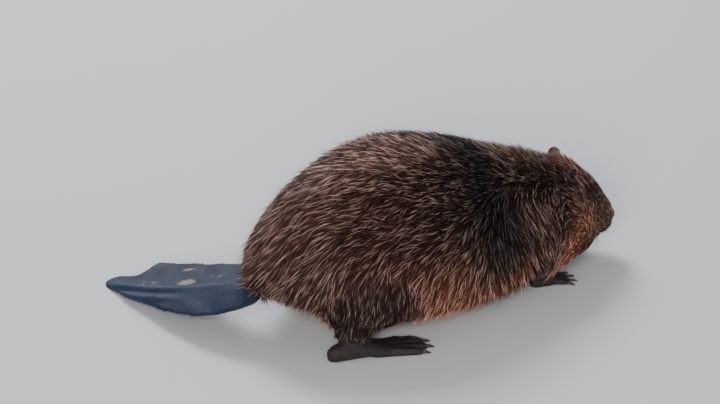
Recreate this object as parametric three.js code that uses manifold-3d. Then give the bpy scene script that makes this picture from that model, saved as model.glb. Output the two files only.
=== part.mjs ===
// A life-size Eurasian beaver: it stands hunched on four feet, its head low and turned a little to its
// right, its flat tail let down to the floor behind it and swung to its left.
// Millimetres. +X is the way the trunk faces, +Y is the animal's left, +Z is up, and the floor is Z 0.
// The flesh and its coat are one blended shape, which cuts divide into the animal's parts. Ears, eyes,
// nose, paddle, feet and claws are shapes of their own, set against it. Sizes go out to the fur's tips.
import * as THREE from "three";
import { mergeVertices } from "three/addons/utils/BufferGeometryUtils.js";
import Module from "manifold-3d";

const wasm = await Module();
wasm.setup();

// ---- Driving dimensions ----
const GAP = 0.4; // left between neighbouring parts
const FAR = 2000; // longer than the animal

const HEAD_AT = [238, 4, 134]; // the middle of the braincase
const HEAD_YAW = -16; // degrees, to the animal's right
const HEAD_PITCH = 37; // degrees, nose down
const HEAD_ROLL = -5; // degrees, the left side lower
const EYE_RADIUS = 6.5;
const EAR_HEIGHT = 26;

const PADDLE_ROOT = [-312, 12, 94.6]; // where the scaly tail leaves the fur
const PADDLE_LENGTH = 333;
const PADDLE_HALF_WIDTH = 72;

// The trunk from the rump to the throat, at stations along X: the height of the back, the height of the
// belly, half the width, and the height where it is widest.
const STATIONS = [
  [-346, 124, 106, 12, 114],
  [-330, 152, 90, 60, 115],
  [-306, 180, 80, 88, 116],
  [-270, 219, 68, 110, 116],
  [-226, 254, 52, 128, 112],
  [-170, 281, 34, 141, 106],
  [-110, 294, 22, 150, 100],
  [-50, 293, 16, 152, 94],
  [10, 278, 15, 144, 88],
  [70, 256, 17, 131, 84],
  [130, 229, 22, 114, 80],
  [180, 206, 24, 101, 78],
  [225, 173, 25, 86, 74],
  [262, 130, 28, 64, 68],
  [290, 84, 38, 28, 62],
];

// Each leg's joints, on the right side. The left side mirrors them, moved along X by its own stride.
const HIND = {
  hip: [-190, -84, 128],
  knee: [-150, -112, 92],
  ankle: [-226, -112, 42],
  foot: [-262, -116, 0],
  footYaw: -9,
};
const FORE = {
  shoulder: [128, -60, 112],
  elbow: [96, -76, 70],
  wrist: [128, -66, 26],
  paw: [122, -66, 0],
  pawYaw: -6,
};
const HIND_STRIDE = { right: 0, left: 34 };
const FORE_STRIDE = { right: 26, left: -22 };

const COLOURS = {
  coat: 0x4a302a,
  face: 0x5a3a2c,
  scaly: 0x333c4c,
  paw: 0x2a2422,
  claw: 0x1c1714,
  nose: 0x171312,
  eye: 0x070504,
};

// ---- Vectors and places ----
const vec = (p) => new THREE.Vector3(...p);
const radians = THREE.MathUtils.degToRad;

// A place in space: yaw turns left, pitch lowers the front, roll lowers the right side.
function place(at, yaw = 0, pitch = 0, roll = 0) {
  const turn = new THREE.Euler(radians(roll), radians(pitch), radians(yaw), "ZYX");
  return new THREE.Matrix4().makeRotationFromEuler(turn).setPosition(...at);
}

const mirrored = ([x, y, z]) => [x, -y, z];
const along = ([x, y, z], stride) => [x + stride, y, z];

// ---- Forms: functions of a point, negative inside and growing by about 1 for each millimetre outside ----
function ellipsoid(at, [rx, ry, rz], yaw = 0, pitch = 0, roll = 0) {
  const back = place(at, yaw, pitch, roll).invert();
  const p = new THREE.Vector3();
  return (x, y, z) => {
    p.set(x, y, z).applyMatrix4(back);
    const near = Math.hypot(p.x / rx, p.y / ry, p.z / rz);
    const steep = Math.hypot(p.x / rx ** 2, p.y / ry ** 2, p.z / rz ** 2);
    return (near * (near - 1)) / Math.max(steep, 1e-6);
  };
}

// A round rod from one point to another that tapers from one radius to the other.
function limb(from, to, startRadius, endRadius) {
  const a = vec(from);
  const run = vec(to).sub(a);
  const p = new THREE.Vector3();
  return (x, y, z) => {
    p.set(x, y, z).sub(a);
    const t = THREE.MathUtils.clamp(p.dot(run) / run.lengthSq(), 0, 1);
    const radius = startRadius + t * (endRadius - startRadius);
    return p.addScaledVector(run, -t).length() - radius;
  };
}

// Several forms melted together: the softness is about how wide the blend is.
function blend(softness, forms) {
  return (x, y, z) => {
    const found = forms.map((form) => form(x, y, z));
    const least = Math.min(...found);
    const sum = found.reduce((s, f) => s + Math.exp((least - f) / softness), 0);
    return least - softness * Math.log(sum);
  };
}

// A form seen from another place, so that it can be written in that place's own axes.
function moved(form, matrix) {
  const back = matrix.clone().invert();
  const p = new THREE.Vector3();
  return (x, y, z) => {
    p.set(x, y, z).applyMatrix4(back);
    return form(p.x, p.y, p.z);
  };
}

// ---- The flesh ----
// At each X the trunk is an egg across the spine, rounder above its widest place and squarer below.
function barrel(stations, squareness) {
  const xs = stations.map((station) => station[0]);
  const rows = stations.flatMap((station) => station.slice(1));
  const between = new THREE.CubicInterpolant(xs, rows, 4);
  const [first, last] = [xs[0], xs[xs.length - 1]];
  return (x, y, z) => {
    const [top, bottom, halfWidth, middle] = between.evaluate(THREE.MathUtils.clamp(x, first, last));
    const above = z > middle;
    const n = above ? squareness.above : squareness.below;
    const tall = above ? top - middle : middle - bottom;
    const near = ((Math.abs(y) / halfWidth) ** n + (Math.abs(z - middle) / tall) ** n) ** (1 / n) + 1e-6;
    const out = Math.hypot(y, z - middle) * (1 - 1 / near);
    const past = Math.max(first - x, x - last, 0);
    return past > 0 ? Math.hypot(past, Math.max(out, 0)) : out;
  };
}

const trunk = barrel(STATIONS, { above: 2.1, below: 3 });

// The head in its own axes: X towards the nose, Z towards the crown.
const headPlace = place(HEAD_AT, HEAD_YAW, HEAD_PITCH, HEAD_ROLL);
const headForms = [
  ellipsoid([-4, 0, 0], [60, 54, 42]), // braincase
  ellipsoid([40, 0, 4], [44, 37, 30], 0, 9), // forehead and bridge
  ellipsoid([74, 0, -9], [40, 31, 29]), // muzzle
  ellipsoid([52, 0, -38], [44, 27, 20], 0, -8), // lower jaw
];
for (const side of [1, -1]) {
  headForms.push(
    ellipsoid([12, side * 32, -26], [52, 37, 46], side * -6), // cheek
    ellipsoid([88, side * 13, -18], [23, 19, 20]), // upper lip
    ellipsoid([41, side * 25, 24], [18, 10, 8], side * -14, 8), // brow
  );
}
const head = moved(blend(5, headForms), headPlace);

// A leg's flesh on one side, with its joints moved along X by the stride.
function hindLeg(side, stride) {
  const at = (joint) => along(side > 0 ? mirrored(HIND[joint]) : HIND[joint], stride);
  return blend(10, [
    ellipsoid(along([-190, side * 88, 104], stride * 0.5), [88, 50, 74], 0, 16), // thigh
    limb(at("hip"), at("knee"), 48, 42),
    limb(at("knee"), at("ankle"), 40, 24),
  ]);
}

function foreLeg(side, stride) {
  const at = (joint) => along(side > 0 ? mirrored(FORE[joint]) : FORE[joint], stride);
  return blend(8, [
    limb(at("shoulder"), along(at("elbow"), -stride * 0.5), 38, 27),
    limb(along(at("elbow"), -stride * 0.5), at("wrist"), 24, 14),
  ]);
}

const tailRoot = limb([-262, 4, 122], [-318, 14, 97], 46, 30);

const flesh = blend(9, [
  trunk,
  head,
  tailRoot,
  hindLeg(-1, HIND_STRIDE.right),
  hindLeg(1, HIND_STRIDE.left),
  foreLeg(-1, FORE_STRIDE.right),
  foreLeg(1, FORE_STRIDE.left),
]);

// ---- From shapes to solids and back ----
function solid(geometry, matrix = new THREE.Matrix4()) {
  const bare = geometry.clone().applyMatrix4(matrix);
  bare.deleteAttribute("normal");
  bare.deleteAttribute("uv");
  const merged = mergeVertices(bare, 1e-3);
  const triVerts = new Uint32Array(merged.index.array);
  const vertProperties = new Float32Array(merged.attributes.position.array);
  return new wasm.Manifold(new wasm.Mesh({ numProp: 3, vertProperties, triVerts }));
}

function geometryOf(made) {
  const mesh = made.getMesh();
  return new THREE.BufferGeometry()
    .setAttribute("position", new THREE.BufferAttribute(new Float32Array(mesh.vertProperties), 3))
    .setIndex(new THREE.BufferAttribute(new Uint32Array(mesh.triVerts), 1));
}

// A point near a form's surface, moved down the form's slope until it lies on it.
function settled(form, start, cell) {
  const reach = cell / 16;
  const p = [...start];
  for (let round = 0; round < 3; round++) {
    const here = form(...p);
    const slope = [0, 1, 2].map((axis) => {
      const probe = [...p];
      probe[axis] += reach;
      return (form(...probe) - here) / reach;
    });
    const steep = slope.reduce((s, v) => s + v * v, 0);
    slope.forEach((v, axis) => {
      const moved = p[axis] - (here * v) / Math.max(steep, 0.05);
      p[axis] = THREE.MathUtils.clamp(moved, start[axis] - cell * 0.4, start[axis] + cell * 0.4);
    });
  }
  return p;
}

// A closed mesh of the surface where a form is zero, by surface nets: one vertex in each cell of a grid
// that the surface crosses, and one quad round each grid edge that it crosses. The grid's edge is outside.
function surface(form, low, high, cell) {
  const n = low.map((l, k) => Math.ceil((high[k] - l) / cell) + 1);
  const at = (i, j, k) => i + n[0] * (j + n[1] * k);
  const value = new Float32Array(n[0] * n[1] * n[2]);
  for (let k = 0; k < n[2]; k++)
    for (let j = 0; j < n[1]; j++)
      for (let i = 0; i < n[0]; i++) {
        const edge = [i, j, k].some((v, axis) => v === 0 || v === n[axis] - 1);
        const inside = form(low[0] + i * cell, low[1] + j * cell, low[2] + k * cell);
        value[at(i, j, k)] = edge ? Math.max(inside, cell / 2) : inside;
      }

  const corners = [0, 1, 2, 3, 4, 5, 6, 7].map((c) => [c & 1, (c >> 1) & 1, c >> 2]);
  const positions = [];
  const vertexOf = new Map();
  for (let k = 0; k < n[2] - 1; k++)
    for (let j = 0; j < n[1] - 1; j++)
      for (let i = 0; i < n[0] - 1; i++) {
        const v = corners.map(([a, b, c]) => value[at(i + a, j + b, k + c)]);
        const sum = [0, 0, 0];
        let crossings = 0;
        for (let a = 0; a < 8; a++)
          for (const bit of [1, 2, 4]) {
            const b = a | bit;
            if (b === a || v[a] < 0 === v[b] < 0) continue;
            const t = v[a] / (v[a] - v[b]);
            corners[a].forEach((low01, axis) => {
              sum[axis] += low01 + t * (corners[b][axis] - low01);
            });
            crossings++;
          }
        if (!crossings) continue;
        vertexOf.set(at(i, j, k), positions.length / 3);
        const start = [i, j, k].map((v0, axis) => low[axis] + (v0 + sum[axis] / crossings) * cell);
        const rim = [i, j, k].some((v0, axis) => v0 === 0 || v0 === n[axis] - 2);
        positions.push(...(rim ? start : settled(form, start, cell)));
      }

  const apart = (a, b) => Math.hypot(...[0, 1, 2].map((k) => positions[a * 3 + k] - positions[b * 3 + k]));
  const index = [];
  const step = [1, n[0], n[0] * n[1]];
  for (let k = 0; k < n[2] - 1; k++)
    for (let j = 0; j < n[1] - 1; j++)
      for (let i = 0; i < n[0] - 1; i++)
        for (let axis = 0; axis < 3; axis++) {
          const rim = [i, j, k].some((v, other) => other !== axis && v === 0);
          const here = at(i, j, k);
          const inside = value[here] < 0;
          if (rim) continue;
          if (inside === value[here + step[axis]] < 0) continue;
          const u = step[(axis + 1) % 3];
          const v = step[(axis + 2) % 3];
          const ring = [here, here - u, here - u - v, here - v].map((cellAt) => vertexOf.get(cellAt));
          const [a, b, c, d] = inside ? ring : ring.reverse();
          if (apart(a, c) < apart(b, d)) index.push(a, b, c, a, c, d);
          else index.push(b, c, d, b, d, a);
        }
  return new THREE.BufferGeometry()
    .setAttribute("position", new THREE.Float32BufferAttribute(positions, 3))
    .setIndex(index);
}

// A closed skin over rings of points, all with the same count, each end closed by a fan round its middle.
function loft(rings) {
  const count = rings[0].length;
  const positions = rings.flat().flatMap((p) => p.toArray());
  const index = [];
  for (let r = 0; r < rings.length - 1; r++)
    for (let i = 0; i < count; i++) {
      const a = r * count + i;
      const b = r * count + ((i + 1) % count);
      index.push(a, b, b + count, a, b + count, a + count);
    }
  const fan = (start, flip) => {
    const middle = new THREE.Vector3();
    for (let i = 0; i < count; i++) middle.add(new THREE.Vector3().fromArray(positions, (start + i) * 3));
    const centre = positions.length / 3;
    positions.push(...middle.divideScalar(count).toArray());
    for (let i = 0; i < count; i++) {
      const pair = [start + i, start + ((i + 1) % count)];
      index.push(centre, ...(flip ? pair.reverse() : pair));
    }
  };
  fan(0, true);
  fan((rings.length - 1) * count, false);
  return new THREE.BufferGeometry()
    .setAttribute("position", new THREE.Float32BufferAttribute(positions, 3))
    .setIndex(index);
}

// A rod through points, as rings of an ellipse: wide across and tall up, with X as the way along.
function rod(points, wide, tall, sides = 8) {
  return loft(
    points.map(([x, y, z], r) =>
      Array.from({ length: sides }, (_, i) => {
        const angle = ((i + 0.5) / sides) * 2 * Math.PI;
        return new THREE.Vector3(x, y + wide[r] * Math.cos(angle), z + tall[r] * Math.sin(angle));
      }),
    ),
  );
}

// A ball squashed to three radii.
function ball(at, [rx, ry, rz], detail = 12, matrix = new THREE.Matrix4()) {
  const round = new THREE.SphereGeometry(1, detail * 2, detail).rotateX(Math.PI / 2);
  return solid(round.scale(rx, ry, rz).translate(...at), matrix);
}

// All the space on the side of a plane that its normal points to.
function halfSpace(point, normal) {
  const up = new THREE.Vector3(0, 0, 1);
  const turn = new THREE.Quaternion().setFromUnitVectors(up, vec(normal).normalize());
  const box = new THREE.BoxGeometry(FAR, FAR, FAR).translate(0, 0, FAR / 2);
  return solid(box, new THREE.Matrix4().makeRotationFromQuaternion(turn).setPosition(...point));
}

const belowFloor = halfSpace([0, 0, 0], [0, 0, -1]);

// ---- Parts and their finishes ----
const beaver = new THREE.Group();

function part(name, made, colour, roughness = 0.8) {
  const material = new THREE.MeshStandardMaterial({ color: colour, roughness, metalness: 0 });
  const mesh = new THREE.Mesh(geometryOf(made), material);
  mesh.name = name;
  beaver.add(mesh);
}

// ---- Dividing planes across the spine, each with a point and the way forward there ----
const CUTS = {
  tailBase: { at: [-292, 8, 106], forward: [0.86, -0.17, 0.48] },
  shoulder: { at: [148, 2, 116], forward: [0.97, -0.04, -0.12] },
  nape: { at: [206, 4, 130], forward: [0.91, -0.18, -0.34] },
};

// What lies between two of the cuts, half a gap from each.
function between(made, rear, front) {
  const offset = ({ at, forward }, by) => vec(at).addScaledVector(vec(forward).normalize(), by).toArray();
  let kept = made;
  if (rear) kept = kept.intersect(halfSpace(offset(rear, GAP / 2), rear.forward));
  if (front) {
    const back = front.forward.map((v) => -v);
    kept = kept.intersect(halfSpace(offset(front, -GAP / 2), back));
  }
  return kept;
}

// The piece of a solid that holds the most.
function largest(made) {
  return made.decompose().reduce((a, b) => (b.volume() > a.volume() ? b : a));
}

// ---- Legs: what of the flesh lies in a bulb round each leg's bones ----
const LEG_CELL = 23;
const TRUNK_CELL = 31;
const HEAD_CELL = 15;

function legRegion(side, stride, grow) {
  const at = along([-192, side * 152, 62], stride * 0.6);
  return ball(at, [92 + grow, 86 + grow, 96 + grow], 6);
}

function armRegion(side, stride, grow) {
  const at = along([122, side * 96, 34], stride * 0.6);
  return ball(at, [44 + grow, 52 + grow, 60 + grow], 6);
}

const bodyLow = [-400, -195, -30];
const bodyHigh = [380, 195, 360];
const bodyFlesh = solid(surface(flesh, bodyLow, bodyHigh, TRUNK_CELL));
const legBands = {
  hind: [[-330, -180, -20], [-60, 180, 240]],
  fore: [[40, -150, -20], [210, 150, 130]],
};
const hindFlesh = solid(surface(flesh, ...legBands.hind, LEG_CELL));
const foreFlesh = solid(surface(flesh, ...legBands.fore, LEG_CELL));

const headLow = [136, -132, -10];
const headHigh = [372, 110, 242];
const headFlesh = solid(surface(flesh, headLow, headHigh, HEAD_CELL));

let trunkSolid = bodyFlesh.subtract(belowFloor);
let headSolid = headFlesh.subtract(belowFloor);
const SIDES = [
  { name: "right", side: -1 },
  { name: "left", side: 1 },
];

// ---- Hind feet: heel and instep, five toes that spread, and the web between them ----
const HIND_TOES = [
  { from: 10, yaw: 17, length: 46 },
  { from: 6, yaw: 9, length: 66 },
  { from: 1, yaw: 1, length: 78 },
  { from: -6, yaw: -7, length: 78 },
  { from: -12, yaw: -16, length: 68 },
];
const TOE_ROOT = 78; // from the heel to where the toes part
const TOE_RADIUS = { root: 9, tip: 6 };

// A toe or finger along X from its knuckle, in a foot's own place.
function toe(size, length, grow, matrix) {
  const thick = [size.root, size.root, size.tip].map((radius) => radius + grow);
  const points = [[-10, 0, 6], [0.3 * length, 0, 6.5], [length + grow, 0, 4.6]];
  return solid(rod(points, thick, thick, 5), matrix);
}

const inFan = (turn, t) => place([t.x, t.from * turn, 0], t.yaw * turn);

// A sole from heel to knuckles with its toes. Turn is 1 where the inner toe lies to the foot's left.
function foot(points, wide, tall, toes, root, size, turn, grow) {
  let made = solid(rod(points, wide.map((r) => r + grow), tall.map((r) => r + grow), 8));
  for (const t of toes) made = made.add(toe(size, t.length, grow, inFan(turn, { ...t, x: root })));
  return made;
}

function hindFoot(turn, grow) {
  const points = [[-6 - grow, 0, 10], [4, 0, 12], [34, 0, 15], [66, 0, 12], [96, 0, 7]];
  const wide = [9, 15, 18, 24, 27];
  const tall = [9, 14, 17, 13, 7];
  const bare = foot(points, wide, tall, HIND_TOES, TOE_ROOT, TOE_RADIUS, turn, grow);
  const web = new THREE.Shape();
  web.moveTo(TOE_ROOT - 12, -20 * turn);
  const tips = HIND_TOES.map((t) => {
    const reach = t.length * 0.9;
    const yaw = radians(t.yaw * turn);
    return [TOE_ROOT + reach * Math.cos(yaw), t.from * turn + reach * Math.sin(yaw)];
  }).reverse();
  tips.forEach(([x, y], i) => {
    const [px, py] = tips[Math.max(i - 1, 0)];
    if (i) web.quadraticCurveTo((x + px) / 2 - 9, (y + py) / 2, x, y);
    else web.lineTo(x, y);
  });
  web.lineTo(TOE_ROOT - 12, 18 * turn);
  const depth = 3 + 2 * grow;
  const sheet = new THREE.ExtrudeGeometry(web, { depth, bevelEnabled: false, curveSegments: 2 });
  return bare.add(solid(sheet, place([0, 0, 2 - grow])));
}

// ---- Fore feet: a palm and five fingers ----
const FORE_TOES = [
  { from: 9, yaw: 34, length: 15 },
  { from: 7, yaw: 15, length: 24 },
  { from: 1, yaw: 2, length: 27 },
  { from: -6, yaw: -12, length: 25 },
  { from: -9, yaw: -30, length: 19 },
];
const FINGER_ROOT = 32;
const FINGER_RADIUS = { root: 5.6, tip: 4 };

function foreFoot(turn, grow) {
  const points = [[-8 - grow, 0, 7.5], [2, 0, 9.5], [22, 0, 9], [38, 0, 5.5]];
  return foot(points, [7, 13, 17, 14], [7, 12, 11, 6], FORE_TOES, FINGER_ROOT, FINGER_RADIUS, turn, grow);
}

// A claw from its root plane at X 0: a tapered rod that bends down to its tip.
function claw(width) {
  const length = 13;
  const points = [[0, 0, 1.2], [length * 0.5, 0, 0.6], [length, 0, -length * 0.16]];
  const thick = [width, width * 0.8, width * 0.2];
  return rod(points, thick, thick, 5);
}

const clawsOf = (toes, root, turn, width) =>
  toes.map((t) => ({ turn: inFan(turn, { ...t, x: root }), reach: t.length, width }));

// One leg of a pair: where its foot stands, the bulb that parts it from the trunk, and the ball that parts
// the foot from the leg, with what its toes and claws are like.
const LEGS = [];
for (const { name, side } of SIDES) {
  const sideOf = (joint) => (side > 0 ? mirrored(joint) : joint);
  const hind = HIND_STRIDE[name];
  const fore = FORE_STRIDE[name];
  LEGS.push(
    {
      name: ["hind_leg", "hind_foot", "hind_claw"].map((part) => `${part}_${name}`),
      region: (grow) => legRegion(side, hind, grow),
      joint: (grow) => ball(along(sideOf([-232, -113, 22]), hind), [32 + grow, 30 + grow, 26 + grow], 6),
      flesh: hindFlesh,
      foot: (grow) => hindFoot(-side, grow),
      at: place(along(sideOf(HIND.foot), hind), HIND.footYaw * -side),
      claws: clawsOf(HIND_TOES, TOE_ROOT, -side, 3.6),
    },
    {
      name: ["foreleg", "forefoot", "fore_claw"].map((part) => `${part}_${name}`),
      region: (grow) => armRegion(side, fore, grow),
      joint: (grow) => ball(along(sideOf([127, -66, 14]), fore), [20 + grow, 20 + grow, 18 + grow], 5),
      flesh: foreFlesh,
      foot: (grow) => foreFoot(-side, grow),
      at: place(along(sideOf(FORE.paw), fore), FORE.pawYaw * -side),
      claws: clawsOf(FORE_TOES, FINGER_ROOT, -side, 2.8),
    },
  );
}

for (const leg of LEGS) {
  const [legName, footName, clawName] = leg.name;
  const footClear = solid(geometryOf(leg.foot(GAP)), leg.at);
  const limbFlesh = leg.flesh.intersect(leg.region(0));
  const footMade = solid(geometryOf(leg.foot(0)), leg.at).add(limbFlesh.intersect(leg.joint(0)));
  trunkSolid = trunkSolid.subtract(leg.region(GAP)).subtract(footClear);
  headSolid = headSolid.subtract(leg.region(GAP)).subtract(footClear);
  const legMade = limbFlesh.subtract(leg.joint(GAP)).subtract(footClear).subtract(belowFloor);
  part(legName, largest(legMade), COLOURS.coat);
  part(footName, largest(footMade.subtract(belowFloor)), COLOURS.paw, 0.6);
  leg.claws.forEach(({ turn, reach, width }, i) => {
    const at = leg.at.clone().multiply(turn).multiply(place([reach + GAP, 0, 3.4]));
    part(`${clawName}_${i + 1}`, solid(claw(width), at).subtract(belowFloor), COLOURS.claw, 0.4);
  });
}

// ---- Paddle: the scaly tail, a flat blade that thins to its rim, its root set into the rump ----
const PADDLE_SIDES = 14;
const PADDLE_HEADING = { root: 130, tip: 104 }; // degrees from +X towards the left, seen from above
const PADDLE_FALL = { root: 0.42, tip: 0.2 }; // how steeply it comes down
const PADDLE_ROLL = { root: 20, tip: 9 }; // degrees, the edge on the animal's right the lower one
const PADDLE_THICKNESS = { root: 26, tip: 9 };

// Along the paddle, from its root at 0 to its tip at 1: the reach of its low edge and of its high edge, as
// parts of the full half width. An old bite has left a notch in the high edge, near the tip.
const PADDLE_OUTLINE = [
  [0, 0.66, 0.68],
  [0.08, 0.8, 0.76],
  [0.18, 0.91, 0.86],
  [0.3, 0.93, 0.96],
  [0.42, 0.84, 1.04],
  [0.54, 0.7, 1.1],
  [0.66, 0.54, 1.13],
  [0.76, 0.43, 1.11],
  [0.83, 0.36, 1.02],
  [0.85, 0.34, 0.7],
  [0.87, 0.33, 0.5],
  [0.93, 0.28, 0.42],
  [0.98, 0.22, 0.35],
  [1, 0.12, 0.2],
];

function paddle(grow) {
  const at = vec(PADDLE_ROOT);
  const rings = PADDLE_OUTLINE.map(([t, low, high], i) => {
    const lerp = ({ root, tip }) => THREE.MathUtils.lerp(root, tip, t);
    const heading = radians(lerp(PADDLE_HEADING));
    const forward = new THREE.Vector3(Math.cos(heading), Math.sin(heading), -lerp(PADDLE_FALL)).normalize();
    const roll = radians(lerp(PADDLE_ROLL));
    const flat = new THREE.Vector3(-Math.sin(heading), Math.cos(heading), 0);
    const across = flat.multiplyScalar(Math.cos(roll)).add(new THREE.Vector3(0, 0, -Math.sin(roll)));
    const up = new THREE.Vector3().crossVectors(forward, across).normalize();
    const closing = Math.sqrt(Math.max(0.02, 1 - (Math.max(0, t - 0.48) / 0.52) ** 2.4));
    const half = (lerp(PADDLE_THICKNESS) / 2) * (0.5 + 0.5 * closing) + grow * 2;
    const before = i ? PADDLE_OUTLINE[i - 1][0] : 0;
    at.addScaledVector(forward, (t - before) * PADDLE_LENGTH + (i ? 0 : -grow));
    return Array.from({ length: PADDLE_SIDES }, (_, s) => {
      const angle = (s / PADDLE_SIDES) * 2 * Math.PI;
      const rim = 1 - 0.7 * Math.cos(angle) ** 2;
      const reach = PADDLE_HALF_WIDTH * (Math.cos(angle) > 0 ? low : high) + grow;
      return at
        .clone()
        .addScaledVector(across, Math.cos(angle) * reach)
        .addScaledVector(up, Math.sin(angle) * half * rim);
    });
  });
  return solid(loft(rings));
}

trunkSolid = trunkSolid.subtract(paddle(GAP));
part("tail", paddle(0).subtract(belowFloor), COLOURS.scaly, 0.5);

// ---- Trunk and neck, and the furred root of the tail ----
part("trunk", largest(between(trunkSolid, CUTS.tailBase, CUTS.shoulder)), COLOURS.coat);
part("neck", largest(between(trunkSolid, CUTS.shoulder, CUTS.nape)), COLOURS.coat);
part("tail_root", largest(between(trunkSolid, null, CUTS.tailBase)), COLOURS.coat);

// ---- Head: skull and jaws in one, with a mouth line, and sockets for the eyes, ears and nose ----
const inHead = (at, ...turns) => headPlace.clone().multiply(place(at, ...turns));

const NOSE = { at: [104, 0, -5], size: [12, 17, 13] };
const nosePad = (grow) => ball([0, 0, 0], NOSE.size.map((r) => r + grow), 5, inHead(NOSE.at));

const EYE_AT = [43, 33.5, 19];
const eyeAt = (side) => inHead([EYE_AT[0], side * EYE_AT[1], EYE_AT[2]]);

// A small round ear, a shell with a hollow in its front, which opens forwards and out.
const EAR_AT = [-10, 42, 17];
const earAt = (side) => inHead([EAR_AT[0], side * EAR_AT[1], EAR_AT[2]], side * 34, -14, side * -30);
const earShell = (side, grow) =>
  ball([0, 0, EAR_HEIGHT * 0.42], [8 + grow, 14 + grow, EAR_HEIGHT * 0.6 + grow], 5, earAt(side));
const earHollow = (side) => ball([7.5, 0, EAR_HEIGHT * 0.5], [8, 10.5, EAR_HEIGHT * 0.42], 5, earAt(side));

const mouthLine = new THREE.BoxGeometry(70, 90, 1.6);
headSolid = between(headSolid, CUTS.nape, null)
  .subtract(solid(mouthLine, inHead([108, 0, -36], 0, -12)))
  .subtract(nosePad(GAP));
for (const { name, side } of SIDES) {
  const round = [EYE_RADIUS, EYE_RADIUS, EYE_RADIUS];
  const socket = ball([0, 0, 0], round.map((r) => r + GAP), 5, eyeAt(side));
  const lids = ball([2, side * 10, 1], [9.5, 9, 7], 5, eyeAt(side));
  headSolid = headSolid.subtract(socket).subtract(lids).subtract(earShell(side, GAP));
  part(`eye_${name}`, ball([0, 0, 0], round, 5, eyeAt(side)), COLOURS.eye, 0.1);
  part(`ear_${name}`, earShell(side, 0).subtract(earHollow(side)), COLOURS.coat);
}
part("head", largest(headSolid), COLOURS.face);
part("nose", nosePad(0), COLOURS.nose, 0.45);

// ---- Set the middle of the animal's box over the origin, with its feet on the floor ----
const box = new THREE.Box3().setFromObject(beaver);
const middle = box.getCenter(new THREE.Vector3());
beaver.position.set(-middle.x, -middle.y, -box.min.z);

export default beaver;
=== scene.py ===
import math

import bmesh
import bpy
import numpy as np
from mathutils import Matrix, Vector
from mathutils.bvhtree import BVHTree


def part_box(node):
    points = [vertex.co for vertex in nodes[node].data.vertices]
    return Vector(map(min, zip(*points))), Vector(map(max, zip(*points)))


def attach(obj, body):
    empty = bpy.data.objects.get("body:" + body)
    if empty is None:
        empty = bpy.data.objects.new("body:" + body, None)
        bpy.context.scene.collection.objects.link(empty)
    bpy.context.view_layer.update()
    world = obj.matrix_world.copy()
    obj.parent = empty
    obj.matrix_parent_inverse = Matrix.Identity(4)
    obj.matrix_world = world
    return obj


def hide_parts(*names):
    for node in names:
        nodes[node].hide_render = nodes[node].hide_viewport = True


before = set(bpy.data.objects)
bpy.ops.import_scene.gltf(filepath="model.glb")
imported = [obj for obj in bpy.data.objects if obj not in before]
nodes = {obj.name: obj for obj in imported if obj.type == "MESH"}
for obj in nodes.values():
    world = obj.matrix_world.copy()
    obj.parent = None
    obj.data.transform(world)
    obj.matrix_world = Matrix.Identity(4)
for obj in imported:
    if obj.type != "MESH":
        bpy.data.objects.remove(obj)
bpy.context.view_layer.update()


# ---- Skin --------------------------------------------------------------------------------------------------
# The hide of the whole animal but its tail paddle, from the lips to the toes, in one closed sheet. It lies
# under the coat by the coat's depth, and comes out to the full shape where the animal is bare.
SKIN_VOXEL = 0.0023
SKIN_SWELL = 0.0006  # so that the gaps between the nodes close
FLESH = [n for n in nodes if "claw" not in n and n.split("_")[0] not in ("eye", "nose") and n != "tail"]


def middle_of(node):
    low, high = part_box(node)
    return np.array((low + high) / 2)


def placed(name, data):
    """A new object with its data, in the scene, at the origin."""
    ob = bpy.data.objects.new(name, data)
    bpy.context.scene.collection.objects.link(ob)
    return ob


def mesh_of(bm, name):
    """Turns a bmesh into a mesh, and lets the bmesh go."""
    me = bpy.data.meshes.new(name)
    bm.to_mesh(me)
    bm.free()
    return me


def clean_copy(node, swell=0.0):
    """A node's mesh with its corners merged, each moved out along its normal by swell."""
    bm = bmesh.new()
    bm.from_mesh(nodes[node].data)
    bmesh.ops.remove_doubles(bm, verts=bm.verts, dist=1e-5)
    bm.normal_update()
    for vert in bm.verts:
        vert.co += vert.normal * swell
    return bm


def gathered(name, names, swell):
    """A new object with the meshes of some nodes, each swollen by the same depth."""
    whole = bmesh.new()
    for node in names:
        me = mesh_of(clean_copy(node, swell), node)
        whole.from_mesh(me)
        bpy.data.meshes.remove(me)
    return placed(name, mesh_of(whole, name))


def settle(ob):
    """Makes an object's modifiers a part of its mesh."""
    graph = bpy.context.evaluated_depsgraph_get()
    made = bpy.data.meshes.new_from_object(ob.evaluated_get(graph))
    ob.modifiers.clear()
    ob.data = made


def one_sheet(name, names, voxel, swell):
    """The nodes melted together into one closed mesh of small quads."""
    ob = gathered(name, names, swell)
    remesh = ob.modifiers.new("Melt", "REMESH")
    remesh.mode = "VOXEL"
    remesh.voxel_size = voxel
    settle(ob)
    return ob


def places(me):
    co = np.empty(len(me.vertices) * 3, np.float32)
    me.vertices.foreach_get("co", co)
    return co.reshape(-1, 3).astype(float)


def set_places(me, co):
    me.vertices.foreach_set("co", co.astype(np.float32).ravel())
    me.update()


def normals(me):
    out = np.empty(len(me.vertices) * 3, np.float32)
    me.vertex_normals.foreach_get("vector", out)
    return out.reshape(-1, 3).astype(float)


def edges(me):
    out = np.empty(len(me.edges) * 2, np.int32)
    me.edges.foreach_get("vertices", out)
    return out.reshape(-1, 2)


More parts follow.
